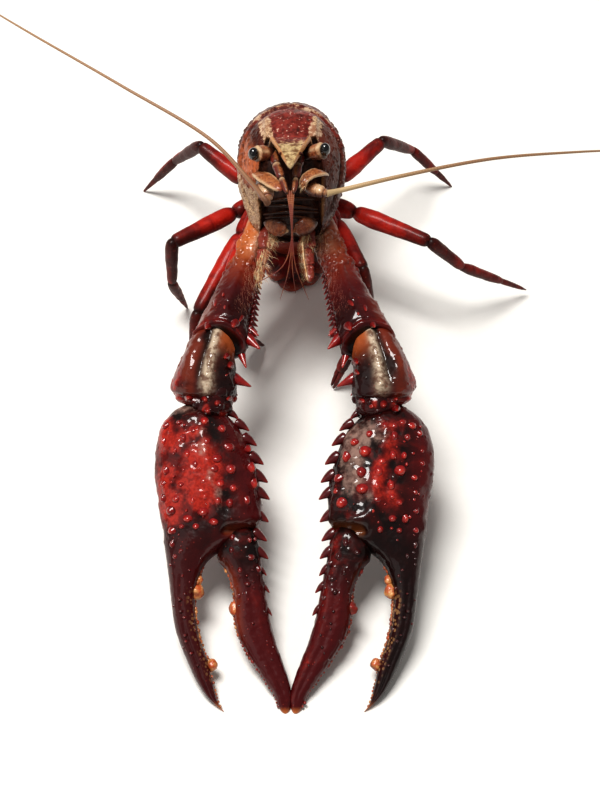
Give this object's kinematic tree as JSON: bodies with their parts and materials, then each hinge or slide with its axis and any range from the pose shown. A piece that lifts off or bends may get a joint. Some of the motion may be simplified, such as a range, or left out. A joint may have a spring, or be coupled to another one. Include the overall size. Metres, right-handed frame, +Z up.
{
  "type": "crayfish",
  "caption": "Whole crayfish resting on its tucked tail and leg tips, head raised, both long claws reaching forward to the table.",
  "frame": {"origin": "on the table, under the middle of the whole", "axes": "+X across the animal, +Y from the claws to the tail, so the head faces -Y, +Z up"},
  "size_m": [0.186, 0.1904, 0.0732],
  "materials": {
    "shell": "glossy, almost black red-brown shell with bright red knobs, red legs and a taupe carapace"
  },
  "bodies": {
    "root": {"crayfish": "shell"}
  },
  "joints": []
}
